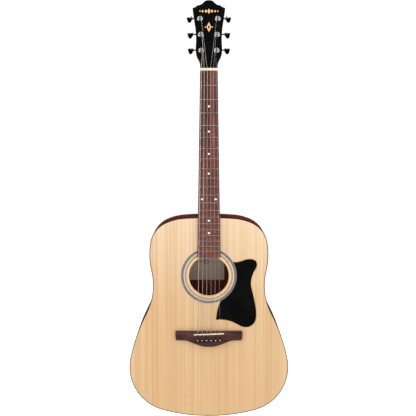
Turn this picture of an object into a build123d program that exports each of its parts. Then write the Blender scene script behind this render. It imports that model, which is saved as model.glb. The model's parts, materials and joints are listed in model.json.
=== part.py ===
from build123d import *

import os
from math import asin, atan, cos, degrees, pi, radians, sin, sqrt

# Six-string steel-string acoustic guitar, dreadnought body, as separate pieces.
# Frame: the guitar stands upright, +Z along the neck towards the headstock, +X to the treble side,
# and the soundboard faces -Y. The origin is on the strap button's axis, at the button's outer end.
# Millimetres throughout.

os.makedirs("parts", exist_ok=True)

# ---------------------------------------------------------------- driving dimensions
SCALE = 650.0                 # string length that the frets are laid out for
BODY_FRET = 14                # the neck meets the body here
LAST_FRET = 20
BUTTON_LENGTH = 10.0          # strap button, from its outer end to the body

# body outline from the neck end, clockwise: (radius, sweep in degrees), negative radius = waist.
# A tail arc centred on the centreline closes it.
RIM_ARCS = ((790, 4.67), (130, 19.73), (66.4, 55.75), (182.4, 22.83), (-156.2, 40.31),
            (450, 15.57), (114, 86.4))
TAIL_DEPTH = 125.0            # body depth at the tail
NECK_DEPTH = 100.0            # body depth at the neck end
BACK_RADIUS = 4500.0          # the back is a shallow dome
TOP_T = 3.0
BACK_T = 3.0
SIDE_T = 2.5
BINDING_W = 1.8
BINDING_H = 6.0
LINING_W = 5.5
LINING_H = 12.0

HOLE_V = 147.0                # sound hole centre, below the body's top edge
HOLE_R = 50.0
ROSETTE_RINGS = ((54.0, 59.5), (63.5, 69.5))
ROSETTE_T = 1.0
PICKGUARD_T = 1.2

FRETBOARD_T = 6.0
FRETBOARD_LENGTH = 460.7
FRETBOARD_RADIUS = 400.0      # crown of the playing surface
NUT_HALF_WIDTH = 21.5
TAPER = 0.016                 # half-width gained per millimetre of fretboard
FRET_CROWN = 1.0
FRET_WIDTH = 2.2
FRET_TANG_T = 0.6
FRET_TANG_DEPTH = 1.6
MARKER_R = 2.5
MARKER_FRETS = (3, 5, 7, 9, 15, 17)
MARKER_PAIR_FRET = 12
MARKER_PAIR_X = 16.9
NUT_T = 6.0

NECK_DEPTH_AT_NUT = 15.0      # neck wood under the fretboard
NECK_DEPTH_AT_BODY = 17.0
HEAD_TILT = 14.0
HEAD_T = 14.0
VENEER_T = 1.5
VENEER_START = 6.6
HEEL_CAP_T = 2.5
TENON_HALF_WIDTH = 10.0
TENON_LENGTH = 25.0
TENON_DEPTH = 62.0
HEEL_OVERLAP = 3.0            # wood left past the joint before it is trimmed to the body
NECK_BLOCK_HALF_WIDTH = 32.0
NECK_BLOCK_LENGTH = 50.0
TAIL_BLOCK_HALF_WIDTH = 35.0
TAIL_BLOCK_T = 22.0
SCREW_R = 2.0                 # strap button's screw
SCREW_LENGTH = 26.0
LABEL_T = 0.3
LABEL_WIDTH = 94.0
LABEL_HEIGHT = 64.0
LABEL_X = -7.0
LABEL_V = 144.0

BRIDGE_V = 286.3              # the bridge's upper edge
BRIDGE_T = 9.0
BRIDGE_WING_T = 6.0
BRIDGE_HALF = 85.0
BRIDGE_EDGE_R = 0.8
WING_START = 42.0             # where the bridge begins to thin, and where it is down to its wing
WING_END = 62.0
SADDLE_V = 293.2
SADDLE_SLOPE = 0.04           # the saddle slants, for compensation
SADDLE_LENGTH = 75.0
SADDLE_T = 3.0
SADDLE_DEPTH = 5.0
SADDLE_TOP = 12.0             # string underside above the soundboard at the saddle
NUT_TOP = 7.5                 # string underside above the soundboard at the nut
PIN_V = 308.5
PIN_SPACING = 11.1
PIN_R_TOP = 2.6
PIN_R_TIP = 2.3
PIN_LENGTH = 25.0
PIN_HEAD_R = 3.75
PIN_CLEARANCE = 0.06
PIN_SEAT_GAP = 0.3
STRING_OFFSET = 3.3           # string axis to pin axis inside the bridge
SLOT_HALF_WIDTH = 0.95
SLOT_REACH = 4.4
SLOT_MOUTH = 10.8             # the slot opens out this far above the pin in the bridge's top
SLOT_RAMP_DEPTH = 2.7
PLATE_T = 2.5                 # bridge plate
PLATE_LENGTH = 36.0
BALL_R = 2.0
BALL_LENGTH = 3.6

STRING_D = (1.35, 1.07, 0.81, 0.61, 0.41, 0.30)   # low E to high E
WOUND = 4                     # the four lowest strings are wound
WRAP_TURNS = (2, 3, 3, 4, 5, 6)                   # windings of each string on its post
WRAP_GAP = 0.3                # string to its first winding, and string's end to its post
NUT_SPACING = 7.3

POSTS = ((-18.8, 51.0), (-19.9, 91.5), (-22.0, 132.5),
         (22.0, 132.5), (19.9, 91.5), (18.8, 51.0))   # low E to high E, on the headstock face
POST_R = 3.0
POST_WAIST_R = 2.2
POST_TOP = 12.0
POST_RUN_H = 5.6              # height at which a string meets its post
POST_HOLE_R = 0.8
POST_HOLE_H = 9.0
RUNNING_GAP = 0.05
BUSHING_R = 4.9
BUSHING_FLANGE_R = 6.9
BUSHING_FLANGE_H = 2.2
GEAR_TEETH = 14
GEAR_PITCH_R = 5.6
GEAR_TIP_R = 5.9
GEAR_ROOT_R = 4.5
GEAR_T = 2.4
WORM_AXIS_Y = 8.0             # worm axis from post axis
WORM_AXIS_Z = -19.0           # worm axis below the headstock face
WORM_R = 2.3
WORM_ECCENTRICITY = 0.75
WORM_TURNS = 4
WORM_SHAFT_R = 2.0
WORM_TIP_R = 1.4
KNOB_START = 18.1             # inner end of the knob, from the post's axis
KNOB_LENGTH = 15.6
KNOB_HALF_T = 3.6
KNOB_CROWN_R = 27.0           # both faces of the knob are crowned
KNOB_EDGE_R = 0.8
HOUSING_FLOOR = -24.5
HOUSING_WALL = 1.5
CAVITY_HALF = 6.6
EAR_Y = -10.4                 # the housing's screw ear, and the screw in it
EAR_T = 2.0
EAR_SCREW_Y = -13.4
EAR_SCREW_R = 1.2
ROD_R = 2.5
ROD_Y = -55.5
ROD_START = 4.0               # truss rod's upper end, below the nut
ROD_THREAD = 9.0              # truss rod's thread, past the neck block
ROD_WRENCH_R = 5.0            # passage through the upper brace for the truss rod's wrench
ROD_NUT_R = 3.9
ROD_NUT_LENGTH = 12.0
ROD_NUT_SOCKET_R = 2.3
ROD_NUT_SOCKET_DEPTH = 2.5
ROD_NUT_GAP = 0.3             # nut to block, and the rod's end to the floor of the nut's bore


# ---------------------------------------------------------------- helpers
def write(builder, name):
    """Label a finished piece and write its STEP file."""
    builder.part.label = name
    export_step(builder.part, f"parts/{name}.step")


def rim(top_z, inset=0.0):
    """The body outline as a sketch in x and z, its top edge at top_z, moved inwards by inset."""
    with BuildSketch() as plan:
        with BuildLine():
            arc = JernArc((0, top_z), (1, 0), RIM_ARCS[0][0], -RIM_ARCS[0][1])
            for radius, sweep in RIM_ARCS[1:]:
                turn = -sweep if radius > 0 else sweep
                arc = JernArc(arc @ 1, arc % 1, abs(radius), turn)
            start, heading = arc @ 1, arc % 1
            turned = sum(sweep if radius > 0 else -sweep for radius, sweep in RIM_ARCS)
            JernArc(start, heading, -start.X / heading.Y, turned - 180)
            mirror(about=Plane.YZ)
        make_face()
        if inset:
            offset(amount=-inset, mode=Mode.REPLACE)
    return plan.sketch


# ---------------------------------------------------------------- derived positions
BODY_LENGTH = rim(0).bounding_box().size.Y
BODY_TOP_Z = BUTTON_LENGTH + BODY_LENGTH
FACE_Y = -TAIL_DEPTH / 2                  # outer face of the soundboard
UNDER_TOP_Y = FACE_Y + TOP_T
NECK_BACK_Y = FACE_Y + NECK_DEPTH
TAIL_BACK_Y = FACE_Y + TAIL_DEPTH
BEYOND_BACK_Y = TAIL_BACK_Y + 10          # past the dome everywhere
NUT_Z = BODY_TOP_Z + SCALE * (1 - 2 ** (-BODY_FRET / 12))
BOARD_Y = FACE_Y - FRETBOARD_T            # crown of the fretboard
BRIDGE_Y = FACE_Y - BRIDGE_T
FACE = Plane.XZ.offset(-FACE_Y)           # on the soundboard, drawn in x and z, normal outwards

# centre of the back's dome: it passes through the rim at the neck and at the tail
CHORD_Y = TAIL_BACK_Y - NECK_BACK_Y
CHORD = sqrt(CHORD_Y ** 2 + BODY_LENGTH ** 2)
DOME_DROP = sqrt(BACK_RADIUS ** 2 - (CHORD / 2) ** 2)
DOME_CENTRE = (0,
               (TAIL_BACK_Y + NECK_BACK_Y) / 2 - DOME_DROP * BODY_LENGTH / CHORD,
               BUTTON_LENGTH + BODY_LENGTH / 2 - DOME_DROP * CHORD_Y / CHORD)

TILT = radians(HEAD_TILT)
HEAD = Plane(origin=(0, FACE_Y, NUT_Z), x_dir=(1, 0, 0), z_dir=(0, -cos(TILT), sin(TILT)))
HOLE_Z = BODY_TOP_Z - HOLE_V
PIN_Z = BODY_TOP_Z - PIN_V
SADDLE_Z = BODY_TOP_Z - SADDLE_V
PIN_X = tuple(PIN_SPACING * (i - 2.5) for i in range(6))
NUT_X = tuple(NUT_SPACING * (i - 2.5) for i in range(6))


def down(v):
    """Height of a point v below the body's top edge."""
    return BODY_TOP_Z - v


def fret_z(number):
    return NUT_Z - SCALE * (1 - 2 ** (-number / 12))


def half_width(z):
    """Half the fretboard's width at height z."""
    return NUT_HALF_WIDTH + TAPER * (NUT_Z - z)


def crown_drop(x):
    """How far the crowned surfaces fall away from the centreline at x."""
    return FRETBOARD_RADIUS - sqrt(FRETBOARD_RADIUS ** 2 - x ** 2)


def dome(radius, mode):
    """The ball under the back's dome, of the given radius."""
    with Locations(DOME_CENTRE):
        Sphere(radius, mode=mode)


def body_prism(inset_outer, inset_inner=None, start_y=UNDER_TOP_Y, end_y=BEYOND_BACK_Y, mode=Mode.ADD):
    """The body outline, or a ring between two insets of it, extruded from start_y to end_y."""
    with BuildSketch(Plane.XZ.offset(-start_y)) as profile:
        add(rim(BODY_TOP_Z, inset_outer))
        if inset_inner is not None:
            add(rim(BODY_TOP_Z, inset_inner), mode=Mode.SUBTRACT)
    extrude(profile.sketch, amount=start_y - end_y, mode=mode)


def board_prism(top_y, bottom_y, mode=Mode.ADD):
    """The fretboard's tapered plan, between two heights."""
    end_z = NUT_Z - FRETBOARD_LENGTH
    with BuildSketch(Plane.XZ.offset(-bottom_y)) as plan:
        with BuildLine():
            Polyline((-NUT_HALF_WIDTH, NUT_Z), (NUT_HALF_WIDTH, NUT_Z),
                     (half_width(end_z), end_z), (-half_width(end_z), end_z), close=True)
        make_face()
    extrude(plan.sketch, amount=bottom_y - top_y, mode=mode)


# ---------------------------------------------------------------- body box
def tenon_space():
    """Clear the place of the neck's tenon, out past the body's wall."""
    with Locations((0, UNDER_TOP_Y, BODY_TOP_Z + HEEL_OVERLAP)):
        Box(2 * TENON_HALF_WIDTH, TENON_DEPTH, TENON_LENGTH + HEEL_OVERLAP,
            align=(Align.CENTER, Align.MIN, Align.MAX), mode=Mode.SUBTRACT)


with BuildPart() as top_binding:
    body_prism(0, BINDING_W, FACE_Y, FACE_Y + BINDING_H)
    tenon_space()
write(top_binding, "top_binding")

with BuildPart() as back_binding:
    body_prism(0, BINDING_W, 0)
    dome(BACK_RADIUS, Mode.INTERSECT)
    dome(BACK_RADIUS - BINDING_H, Mode.SUBTRACT)
write(back_binding, "back_binding")

with BuildPart() as back:
    body_prism(BINDING_W, start_y=0)
    dome(BACK_RADIUS, Mode.INTERSECT)
    dome(BACK_RADIUS - BACK_T, Mode.SUBTRACT)
write(back, "back")

# the block that carries the neck, with its mortise and the truss rod's passage
with BuildPart() as neck_block:
    body_prism(SIDE_T)
    dome(BACK_RADIUS - BACK_T, Mode.INTERSECT)
    with Locations((0, 0, BODY_TOP_Z - NECK_BLOCK_LENGTH)):
        Box(2 * NECK_BLOCK_HALF_WIDTH, 4 * TAIL_DEPTH, 2 * NECK_BLOCK_LENGTH,
            align=(Align.CENTER, Align.CENTER, Align.MIN), mode=Mode.INTERSECT)
    tenon_space()
    with Locations((0, ROD_Y, BODY_TOP_Z)):
        Cylinder(ROD_R, 2.5 * NECK_BLOCK_LENGTH, mode=Mode.SUBTRACT)
write(neck_block, "neck_block")

with BuildPart() as tail_block:
    body_prism(SIDE_T)
    dome(BACK_RADIUS - BACK_T, Mode.INTERSECT)
    with Locations((0, 0, BUTTON_LENGTH)):
        Box(2 * TAIL_BLOCK_HALF_WIDTH, 4 * TAIL_DEPTH, TAIL_BLOCK_T,
            align=(Align.CENTER, Align.CENTER, Align.MIN), mode=Mode.INTERSECT)
        Cylinder(SCREW_R, 2 * (SCREW_LENGTH - BUTTON_LENGTH), mode=Mode.SUBTRACT)
write(tail_block, "tail_block")


def side(keep):
    """One bent side: the rim's wall between top and back, on one side of the centreline."""
    with BuildPart() as wall:
        body_prism(0, SIDE_T)
        dome(BACK_RADIUS - BACK_T, Mode.INTERSECT)
        add(top_binding.part, mode=Mode.SUBTRACT)
        add(back_binding.part, mode=Mode.SUBTRACT)
        tenon_space()
        with Locations((0, 0, BUTTON_LENGTH)):
            Cylinder(SCREW_R, 4 * SIDE_T, mode=Mode.SUBTRACT)
        split(bisect_by=Plane.YZ, keep=keep)
    return wall


write(side(Keep.BOTTOM), "side_bass")
write(side(Keep.TOP), "side_treble")


def clear_blocks():
    """Open a lining or brace where the end blocks stand."""
    with Locations((0, 0, BODY_TOP_Z - NECK_BLOCK_LENGTH)):
        Box(2 * NECK_BLOCK_HALF_WIDTH, 4 * TAIL_DEPTH, 2 * NECK_BLOCK_LENGTH,
            align=(Align.CENTER, Align.CENTER, Align.MIN), mode=Mode.SUBTRACT)
    with Locations((0, 0, BUTTON_LENGTH)):
        Box(2 * TAIL_BLOCK_HALF_WIDTH, 4 * TAIL_DEPTH, TAIL_BLOCK_T,
            align=(Align.CENTER, Align.CENTER, Align.MIN), mode=Mode.SUBTRACT)


with BuildPart() as top_lining:
    body_prism(SIDE_T, SIDE_T + LINING_W, UNDER_TOP_Y, UNDER_TOP_Y + LINING_H)
    clear_blocks()
write(top_lining, "top_lining")

with BuildPart() as back_lining:
    body_prism(SIDE_T, SIDE_T + LINING_W, 0)
    dome(BACK_RADIUS - BACK_T, Mode.INTERSECT)
    dome(BACK_RADIUS - BACK_T - LINING_H, Mode.SUBTRACT)
    clear_blocks()
write(back_lining, "back_lining")

# ---------------------------------------------------------------- soundboard and what it carries
with BuildPart() as rosette:
    with BuildSketch(FACE):
        with Locations((0, HOLE_Z)):
            for inner, outer in reversed(ROSETTE_RINGS):
                Circle(outer)
                Circle(inner, mode=Mode.SUBTRACT)
    extrude(amount=-ROSETTE_T)
write(rosette, "rosette")


def pin_holes():
    """Tapered pin holes and the string slots beside them, from the bridge's top to below its plate."""
    hole_top_r = PIN_R_TOP + PIN_CLEARANCE
    hole_tip_r = PIN_R_TIP + PIN_CLEARANCE
    with Locations(*[Location((x, BRIDGE_Y - PIN_SEAT_GAP, PIN_Z), (90, 0, 0)) for x in PIN_X]):
        Cone(hole_tip_r, hole_top_r, PIN_LENGTH, align=(Align.CENTER, Align.CENTER, Align.MAX),
             mode=Mode.SUBTRACT)
    floor_y = UNDER_TOP_Y + 2 * PLATE_T
    with BuildSketch(Plane.YZ.offset(-SLOT_HALF_WIDTH)) as slot:
        with BuildLine():
            Polyline((BRIDGE_Y - 2, PIN_Z), (floor_y, PIN_Z), (floor_y, PIN_Z + SLOT_REACH),
                     (BRIDGE_Y + SLOT_RAMP_DEPTH, PIN_Z + SLOT_REACH), (BRIDGE_Y, PIN_Z + SLOT_MOUTH),
                     (BRIDGE_Y - 2, PIN_Z + SLOT_MOUTH), close=True)
        make_face()
    for x in PIN_X:
        extrude(slot.sketch.moved(Location((x, 0, 0))), amount=2 * SLOT_HALF_WIDTH, mode=Mode.SUBTRACT)


with BuildPart() as soundboard:
    body_prism(BINDING_W, start_y=FACE_Y, end_y=UNDER_TOP_Y)
    with Locations(Location((0, FACE_Y, HOLE_Z), (90, 0, 0))):
        Cylinder(HOLE_R, 4 * TOP_T, mode=Mode.SUBTRACT)
    add(rosette.part, mode=Mode.SUBTRACT)
    pin_holes()
write(soundboard, "soundboard")

# the guard's edge, clockwise from its upper corner on the rosette: (x, distance below the top edge)
GUARD_EDGE = ((60.7, 112.2), (82, 109.5), (105, 104.8), (117, 110), (120, 120), (114.5, 132.5),
              (107.5, 149), (105, 165), (109, 188), (114.5, 212), (118.3, 240), (114, 265),
              (102, 275.3), (87, 276.3), (66, 266.5), (44, 259), (18.5, 258.5))
GUARD_INNER_EDGE = ((18.5, 258.5), (21.5, 234), (30, 209.9))
with BuildPart() as pickguard:
    with BuildSketch(FACE):
        with BuildLine():
            Spline([(x, down(v)) for x, v in GUARD_EDGE])
            Spline([(x, down(v)) for x, v in GUARD_INNER_EDGE])
            ThreePointArc((30, down(209.9)), (ROSETTE_RINGS[1][1] + 0.2, HOLE_Z), (60.7, down(112.2)))
        make_face()
    extrude(amount=PICKGUARD_T)
write(pickguard, "pickguard")

# X-brace, transverse brace, tone bars and finger braces, glued under the soundboard:
# (x and v of the first end, x and v of the second end, width, height)
TRANSVERSE_V = 72
TOP_BRACES = ((-137, 95, 168, 400, 8, 14), (137, 95, -168, 400, 8, 14),
              (-125, TRANSVERSE_V, 125, TRANSVERSE_V, 12, 14),
              (-100, 352, 50, 430, 7, 10), (-70, 322, 105, 413, 7, 10),
              (60, 242, 138, 226, 6, 7), (84, 285, 160, 275, 6, 7),
              (-60, 242, -138, 226, 6, 7), (-84, 285, -160, 275, 6, 7))


def brace(x1, v1, x2, v2, width, height, root_y):
    """A straight bar of wood from one point to another, standing height from root_y inwards."""
    z1, z2 = down(v1), down(v2)
    length = sqrt((x2 - x1) ** 2 + (z2 - z1) ** 2)
    turn = degrees(atan((z2 - z1) / (x2 - x1)))
    with Locations(Location(((x1 + x2) / 2, root_y, (z1 + z2) / 2), (0, -turn, 0))):
        Box(length, height, width, align=(Align.CENTER, Align.MIN, Align.CENTER))


with BuildPart() as top_braces:
    for bar in TOP_BRACES:
        brace(*bar, UNDER_TOP_Y)
    body_prism(SIDE_T + LINING_W, mode=Mode.INTERSECT)
    clear_blocks()
    with Locations(Location((0, FACE_Y, HOLE_Z), (90, 0, 0))):
        Cylinder(HOLE_R + 4, 8 * BINDING_H, mode=Mode.SUBTRACT)
    with Locations((0, ROD_Y, down(TRANSVERSE_V))):
        Cylinder(ROD_WRENCH_R, 30, mode=Mode.SUBTRACT)
write(top_braces, "top_braces")

with BuildPart() as bridge_plate:
    with Locations((0, UNDER_TOP_Y, PIN_Z)):
        Box(6.5 * PIN_SPACING, PLATE_T, PLATE_LENGTH, align=(Align.CENTER, Align.MIN, Align.CENTER))
    pin_holes()
write(bridge_plate, "bridge_plate")

# back braces: (v, width, height)
BACK_BRACES = ((66, 8, 13), (228, 8, 13), (312, 14, 11), (408, 14, 11))
with BuildPart() as back_braces:
    for v, width, height in BACK_BRACES:
        brace(-200, v, 200, v, width, 2 * TAIL_DEPTH, 0)
    body_prism(SIDE_T + LINING_W, start_y=0, mode=Mode.INTERSECT)
    dome(BACK_RADIUS - BACK_T, Mode.INTERSECT)
    dome(BACK_RADIUS - BACK_T - BACK_BRACES[0][2], Mode.SUBTRACT)
    clear_blocks()
write(back_braces, "back_braces")

with BuildPart() as label:
    with Locations((LABEL_X, 0, down(LABEL_V))):
        Box(LABEL_WIDTH, TAIL_DEPTH, LABEL_HEIGHT, align=(Align.CENTER, Align.MIN, Align.CENTER))
    dome(BACK_RADIUS - BACK_T, Mode.INTERSECT)
    dome(BACK_RADIUS - BACK_T - LABEL_T, Mode.SUBTRACT)
write(label, "label")

# ---------------------------------------------------------------- strings
def surface_y(x, height):
    """y of a string's underside at x, for a crowned surface of this height over the soundboard."""
    return FACE_Y - height + crown_drop(x)


def string_route(number):
    """Corners of a string's centre line, from its post over nut and saddle down to its ball end."""
    radius = STRING_D[number] / 2
    post_x, post_w = POSTS[number]
    inward = 1 if post_x < 0 else -1
    run_x = post_x + inward * (POST_WAIST_R + WRAP_GAP + radius)
    at_post = HEAD.from_local_coords((run_x, post_w, POST_RUN_H))
    x_nut, x_pin = NUT_X[number], PIN_X[number]
    return (at_post,
            Vector(x_nut, surface_y(x_nut, NUT_TOP) - radius, NUT_Z + 1),
            Vector(x_pin, surface_y(x_pin, SADDLE_TOP) - radius, SADDLE_Z + SADDLE_SLOPE * x_pin),
            Vector(x_pin, BRIDGE_Y + 2, PIN_Z + STRING_OFFSET),
            Vector(x_pin, UNDER_TOP_Y + PLATE_T + 0.5, PIN_Z + STRING_OFFSET))


def string(number):
    """One taut string as a round wire."""
    with BuildLine() as path:
        FilletPolyline(*string_route(number), radius=(3.0, 2.5, 1.2))
    start = Plane(origin=path.line @ 0, z_dir=path.line % 0)
    with BuildSketch(start) as section:
        Circle(STRING_D[number] / 2)
    sweep(section.sketch, path=path.line)


with BuildPart() as wound_strings:
    for number in range(WOUND):
        string(number)
write(wound_strings, "wound_strings")

with BuildPart() as plain_strings:
    for number in range(WOUND, 6):
        string(number)
write(plain_strings, "plain_strings")

with BuildPart() as string_ball_ends:
    for x in PIN_X:
        with Locations(Location((x, UNDER_TOP_Y + PLATE_T + BALL_R, PIN_Z + STRING_OFFSET + 1.2),
                                (0, 90, 0))):
            Cylinder(BALL_R, BALL_LENGTH)
    add(wound_strings.part, mode=Mode.SUBTRACT)
    add(plain_strings.part, mode=Mode.SUBTRACT)
write(string_ball_ends, "string_ball_ends")

# ---------------------------------------------------------------- bridge
with BuildPart() as bridge:
    with BuildSketch(FACE):
        with BuildLine():
            Line((0, down(BRIDGE_V)), (80.5, down(BRIDGE_V)))
            Spline([(80.5, down(BRIDGE_V)), (84, down(292.5)), (81.8, down(309.5))],
                   tangents=[(1, 0), (-0.25, -1)])
            Line((81.8, down(309.5)), (64, down(309.8)))
            Spline([(64, down(309.8)), (40, down(316)), (20, down(323.3)), (0, down(325.5))],
                   tangents=[(-1, 0), (-1, 0)])
            mirror(about=Plane.YZ)
        make_face()
    extrude(amount=BRIDGE_T)
    with BuildSketch(Plane.XY.offset(down(BRIDGE_V + 50))):
        with BuildLine():
            Line((-BRIDGE_HALF, FACE_Y), (BRIDGE_HALF, FACE_Y))
            for way in (-1, 1):
                Line((way * BRIDGE_HALF, FACE_Y), (way * BRIDGE_HALF, FACE_Y - BRIDGE_WING_T))
                Line((way * BRIDGE_HALF, FACE_Y - BRIDGE_WING_T), (way * WING_END, FACE_Y - BRIDGE_WING_T))
                Spline([(way * WING_END, FACE_Y - BRIDGE_WING_T), (way * WING_START, BRIDGE_Y)],
                       tangents=[(-way, 0), (-way, 0)])
            Line((-WING_START, BRIDGE_Y), (WING_START, BRIDGE_Y))
        make_face()
    extrude(amount=100, mode=Mode.INTERSECT)
    fillet(bridge.edges().filter_by(lambda edge: edge.bounding_box().max.Y < FACE_Y - BRIDGE_WING_T + 0.01
                                    and edge.bounding_box().size.X > 5), radius=BRIDGE_EDGE_R)
    saddle_turn = degrees(atan(SADDLE_SLOPE))
    with Locations(Location((0, BRIDGE_Y + SADDLE_DEPTH, SADDLE_Z), (0, -saddle_turn, 0))):
        Box(SADDLE_LENGTH, 2 * SADDLE_DEPTH, SADDLE_T,
            align=(Align.CENTER, Align.MAX, Align.CENTER), mode=Mode.SUBTRACT)
    pin_holes()
write(bridge, "bridge")

with BuildPart() as saddle:
    with BuildSketch(Plane.XY.offset(-SADDLE_T / 2)):
        with BuildLine():
            end_x = SADDLE_LENGTH / 2
            low_y = BRIDGE_Y + SADDLE_DEPTH
            end_y = surface_y(end_x, SADDLE_TOP)
            ThreePointArc((-end_x, end_y), (0, surface_y(0, SADDLE_TOP)), (end_x, end_y))
            Polyline((end_x, end_y), (end_x, low_y), (-end_x, low_y), (-end_x, end_y))
        make_face()
    extrude(amount=SADDLE_T)
    fillet(saddle.edges().filter_by(GeomType.CIRCLE), radius=1.1)
saddle_place = Location((0, 0, SADDLE_Z), (0, -saddle_turn, 0))
with BuildPart() as saddle_seated:
    add(saddle.part.moved(saddle_place))
    add(wound_strings.part, mode=Mode.SUBTRACT)
    add(plain_strings.part, mode=Mode.SUBTRACT)
write(saddle_seated, "saddle")

for number, x in enumerate(PIN_X):
    with BuildPart() as bridge_pin:
        with BuildSketch(Plane.XY):
            with BuildLine():
                Polyline((0, PIN_LENGTH), (PIN_R_TIP - 0.6, PIN_LENGTH), (PIN_R_TIP, PIN_LENGTH - 0.6),
                         (PIN_R_TOP, 0), (PIN_HEAD_R, 0), (PIN_HEAD_R, -1.0))
                Spline([(PIN_HEAD_R, -1.0), (2.4, -3.1), (0, -3.8)], tangents=[(0, -1), (-1, 0)])
                Line((0, -3.8), (0, PIN_LENGTH))
            make_face()
        revolve(axis=Axis.Y)
    with BuildPart() as pin_seated:
        add(bridge_pin.part.moved(Location((x, BRIDGE_Y - PIN_SEAT_GAP, PIN_Z))))
    write(pin_seated, f"bridge_pin_{number + 1}")

# ---------------------------------------------------------------- neck
# heel sections, from the shaft to the cap: (y, half-width, reach out of the body)
HEEL_SECTIONS = ((FACE_Y + 10, 26.6, 100), (FACE_Y + 24, 24.5, 58), (-10, 19, 33),
                 (NECK_BACK_Y - HEEL_CAP_T, 14.5, 25))


def heel_section(half, reach):
    """A heel section, flat against the body, in x and z."""
    base_z = BODY_TOP_Z - HEEL_OVERLAP
    with BuildLine() as edge:
        Line((-half, base_z), (half, base_z))
        Spline([(half, base_z), (0.72 * half, base_z + 0.72 * reach), (0, base_z + reach),
                (-0.72 * half, base_z + 0.72 * reach), (-half, base_z)], tangents=[(0, 1), (0, -1)])
    make_face(edge.line.edges())


# headstock half-outline from the nut to its upper corner, and over the crest: (x, distance from nut)
HEAD_FLARE = ((21.5, 12), (23.4, 25), (28.6, 35), (32.2, 49), (31.6, 78), (33.3, 110), (40.5, 160.3))
HEAD_SHOULDER = ((40.5, 160.3), (35, 162.3), (29, 167))
HEAD_CREST = ((29, 167), (20, 169.3), (10.5, 177.6), (0, 180.6))


def head_outline(start):
    """The headstock's outline from a distance above the nut, on the headstock's own plane."""
    with BuildLine() as edge:
        Polyline((0, start), (NUT_HALF_WIDTH, start), HEAD_FLARE[0])
        Spline(list(HEAD_FLARE), tangents=[(0, 1), (0.14, 1)])
        Spline(list(HEAD_SHOULDER), tangents=[(-1, 0.12), (-0.6, 1)])
        Spline(list(HEAD_CREST), tangents=[(-1, 0.12), (-1, 0)])
        mirror(about=Plane.YZ)
    make_face(edge.line.edges())


def neck_section(half, depth):
    """A D-shaped neck section, flat side to the fretboard, in x and y."""
    with BuildLine() as edge:
        Polyline((-half, FACE_Y + 2), (-half, FACE_Y), (half, FACE_Y), (half, FACE_Y + 2))
        Spline([(half, FACE_Y + 2), (0.66 * half, FACE_Y + 0.74 * depth), (0, FACE_Y + depth),
                (-0.66 * half, FACE_Y + 0.74 * depth), (-half, FACE_Y + 2)],
               tangents=[(0, 1), (0, -1)])
    make_face(edge.line.edges())


with BuildPart() as neck:
    with BuildSketch(Plane.XY.offset(NUT_Z)):
        neck_section(NUT_HALF_WIDTH, NECK_DEPTH_AT_NUT)
    with BuildSketch(Plane.XY.offset(BODY_TOP_Z - HEEL_OVERLAP)):
        neck_section(half_width(BODY_TOP_Z), NECK_DEPTH_AT_BODY)
    loft()
    for y, half, reach in HEEL_SECTIONS:
        with BuildSketch(Plane.XZ.offset(-y)):
            heel_section(half, reach)
    loft()
    body_prism(0, start_y=FACE_Y - 1, mode=Mode.SUBTRACT)
    with Locations((0, UNDER_TOP_Y, BODY_TOP_Z + HEEL_OVERLAP)):
        Box(2 * TENON_HALF_WIDTH, TENON_DEPTH, TENON_LENGTH + HEEL_OVERLAP,
            align=(Align.CENTER, Align.MIN, Align.MAX))
    with BuildSketch(HEAD):
        head_outline(0)
    extrude(amount=-HEAD_T)
    with Locations(*[HEAD.location * Location((x, w, 0)) for x, w in POSTS]):
        Cylinder(BUSHING_R, 3 * HEAD_T, mode=Mode.SUBTRACT)
    with Locations((0, ROD_Y, NUT_Z - ROD_START)):
        Cylinder(ROD_R, NUT_Z, align=(Align.CENTER, Align.CENTER, Align.MAX), mode=Mode.SUBTRACT)
write(neck, "neck")

with BuildPart() as heel_cap:
    with BuildSketch(Plane.XZ.offset(-NECK_BACK_Y)):
        heel_section(HEEL_SECTIONS[-1][1], HEEL_SECTIONS[-1][2])
    extrude(amount=HEEL_CAP_T)
    body_prism(0, start_y=0, mode=Mode.SUBTRACT)
write(heel_cap, "heel_cap")

# fretboard furniture: frets pressed into slots, markers let in flush
CROWN_AXIS = Axis((0, BOARD_Y + FRETBOARD_RADIUS, 0), (0, 0, 1))
SWING = degrees(asin(half_width(NUT_Z - FRETBOARD_LENGTH) / FRETBOARD_RADIUS)) + 0.5
with BuildPart() as frets:
    for number in range(1, LAST_FRET + 1):
        with BuildSketch(Plane.YZ) as fret_profile:
            z = fret_z(number)
            with BuildLine():
                ThreePointArc((BOARD_Y, z - FRET_WIDTH / 2), (BOARD_Y - FRET_CROWN, z),
                              (BOARD_Y, z + FRET_WIDTH / 2))
                Polyline((BOARD_Y, z + FRET_WIDTH / 2), (BOARD_Y, z + FRET_TANG_T / 2),
                         (BOARD_Y + FRET_TANG_DEPTH, z + FRET_TANG_T / 2),
                         (BOARD_Y + FRET_TANG_DEPTH, z - FRET_TANG_T / 2),
                         (BOARD_Y, z - FRET_TANG_T / 2), (BOARD_Y, z - FRET_WIDTH / 2))
            make_face()
        for way in (SWING, -SWING):
            revolve(fret_profile.sketch, axis=CROWN_AXIS, revolution_arc=way)
    board_prism(BOARD_Y - 5, FACE_Y, mode=Mode.INTERSECT)
write(frets, "frets")


def crown(mode):
    """The cylinder whose surface is the fretboard's playing surface."""
    with Locations((0, BOARD_Y + FRETBOARD_RADIUS, NUT_Z)):
        Cylinder(FRETBOARD_RADIUS, 3 * FRETBOARD_LENGTH, mode=mode)


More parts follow.
